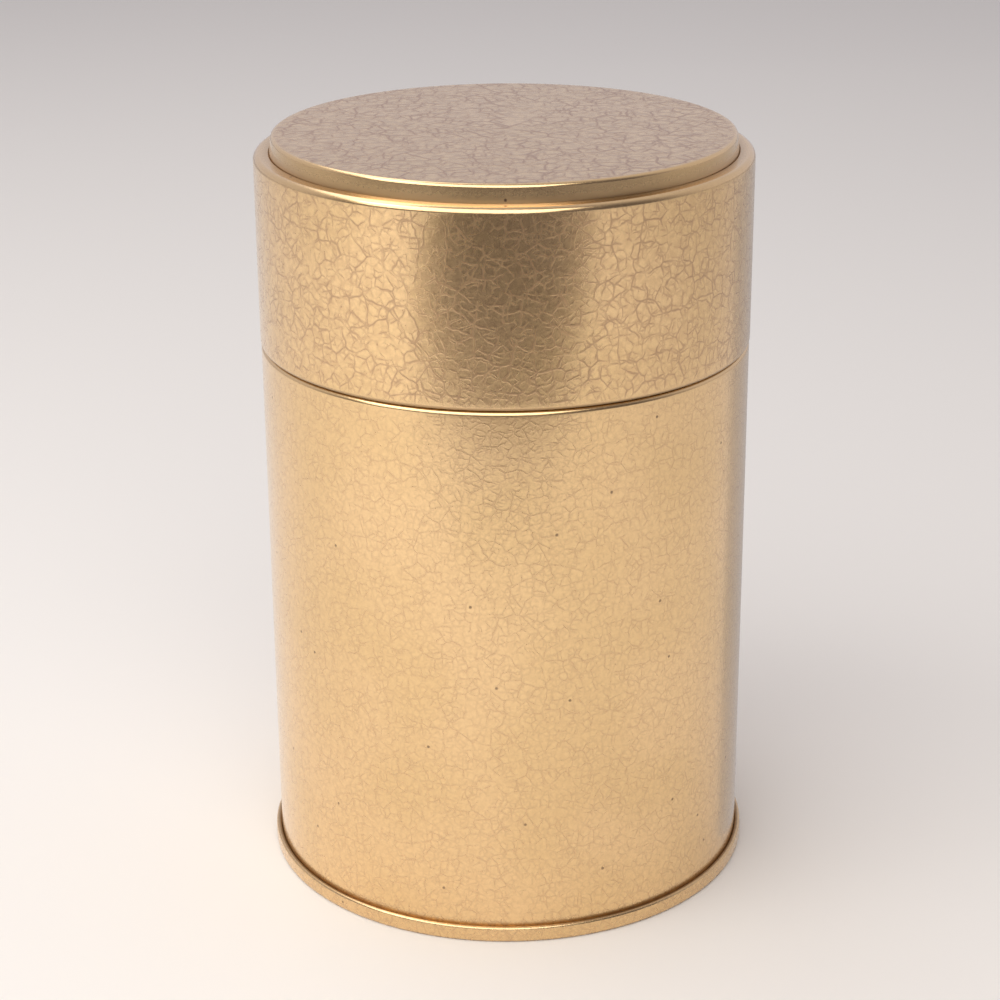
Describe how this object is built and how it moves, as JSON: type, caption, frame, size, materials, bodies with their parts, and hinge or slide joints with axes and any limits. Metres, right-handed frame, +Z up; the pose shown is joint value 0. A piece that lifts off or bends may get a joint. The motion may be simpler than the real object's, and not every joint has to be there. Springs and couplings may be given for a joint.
{
  "type": "tea tin",
  "caption": "Tall round gold-lacquered storage tin with a flush pull-off outer lid over a neck, and a plug lid with a knob inside.",
  "frame": {"origin": "centre of the foot, on the surface the tin stands on", "axes": "+Z up along the tin's axis, towards the lid; +Y towards the back, where the side seams are"},
  "size_m": [0.0818, 0.0818, 0.1244],
  "materials": {
    "gold_lacquer": "satin metallic gold lacquer with a fine crackle",
    "tinned_steel": "bright tinned steel",
    "knob_metal": "turned and polished",
    "seam_compound": "matte sealing compound"
  },
  "bodies": {
    "can": {"body_wall": "gold_lacquer", "bottom_panel": "gold_lacquer", "bottom_seam_compound": "seam_compound", "neck_sleeve": "tinned_steel"},
    "inner_lid": {"inner_lid_plate": "tinned_steel", "inner_lid_knob": "knob_metal", "knob_washer": "tinned_steel", "knob_rivet": "knob_metal"},
    "outer_lid": {"lid_wall": "gold_lacquer", "lid_top_panel": "gold_lacquer"}
  },
  "joints": [
    {"name": "inner_lid_lift", "type": "slide", "parent": "can", "child": "inner_lid", "axis": [0, 0, 1], "range_m": [0, 0.045]},
    {"name": "outer_lid_lift", "type": "slide", "parent": "inner_lid", "child": "outer_lid", "axis": [0, 0, 1], "range_m": [0, 0.07]}
  ]
}
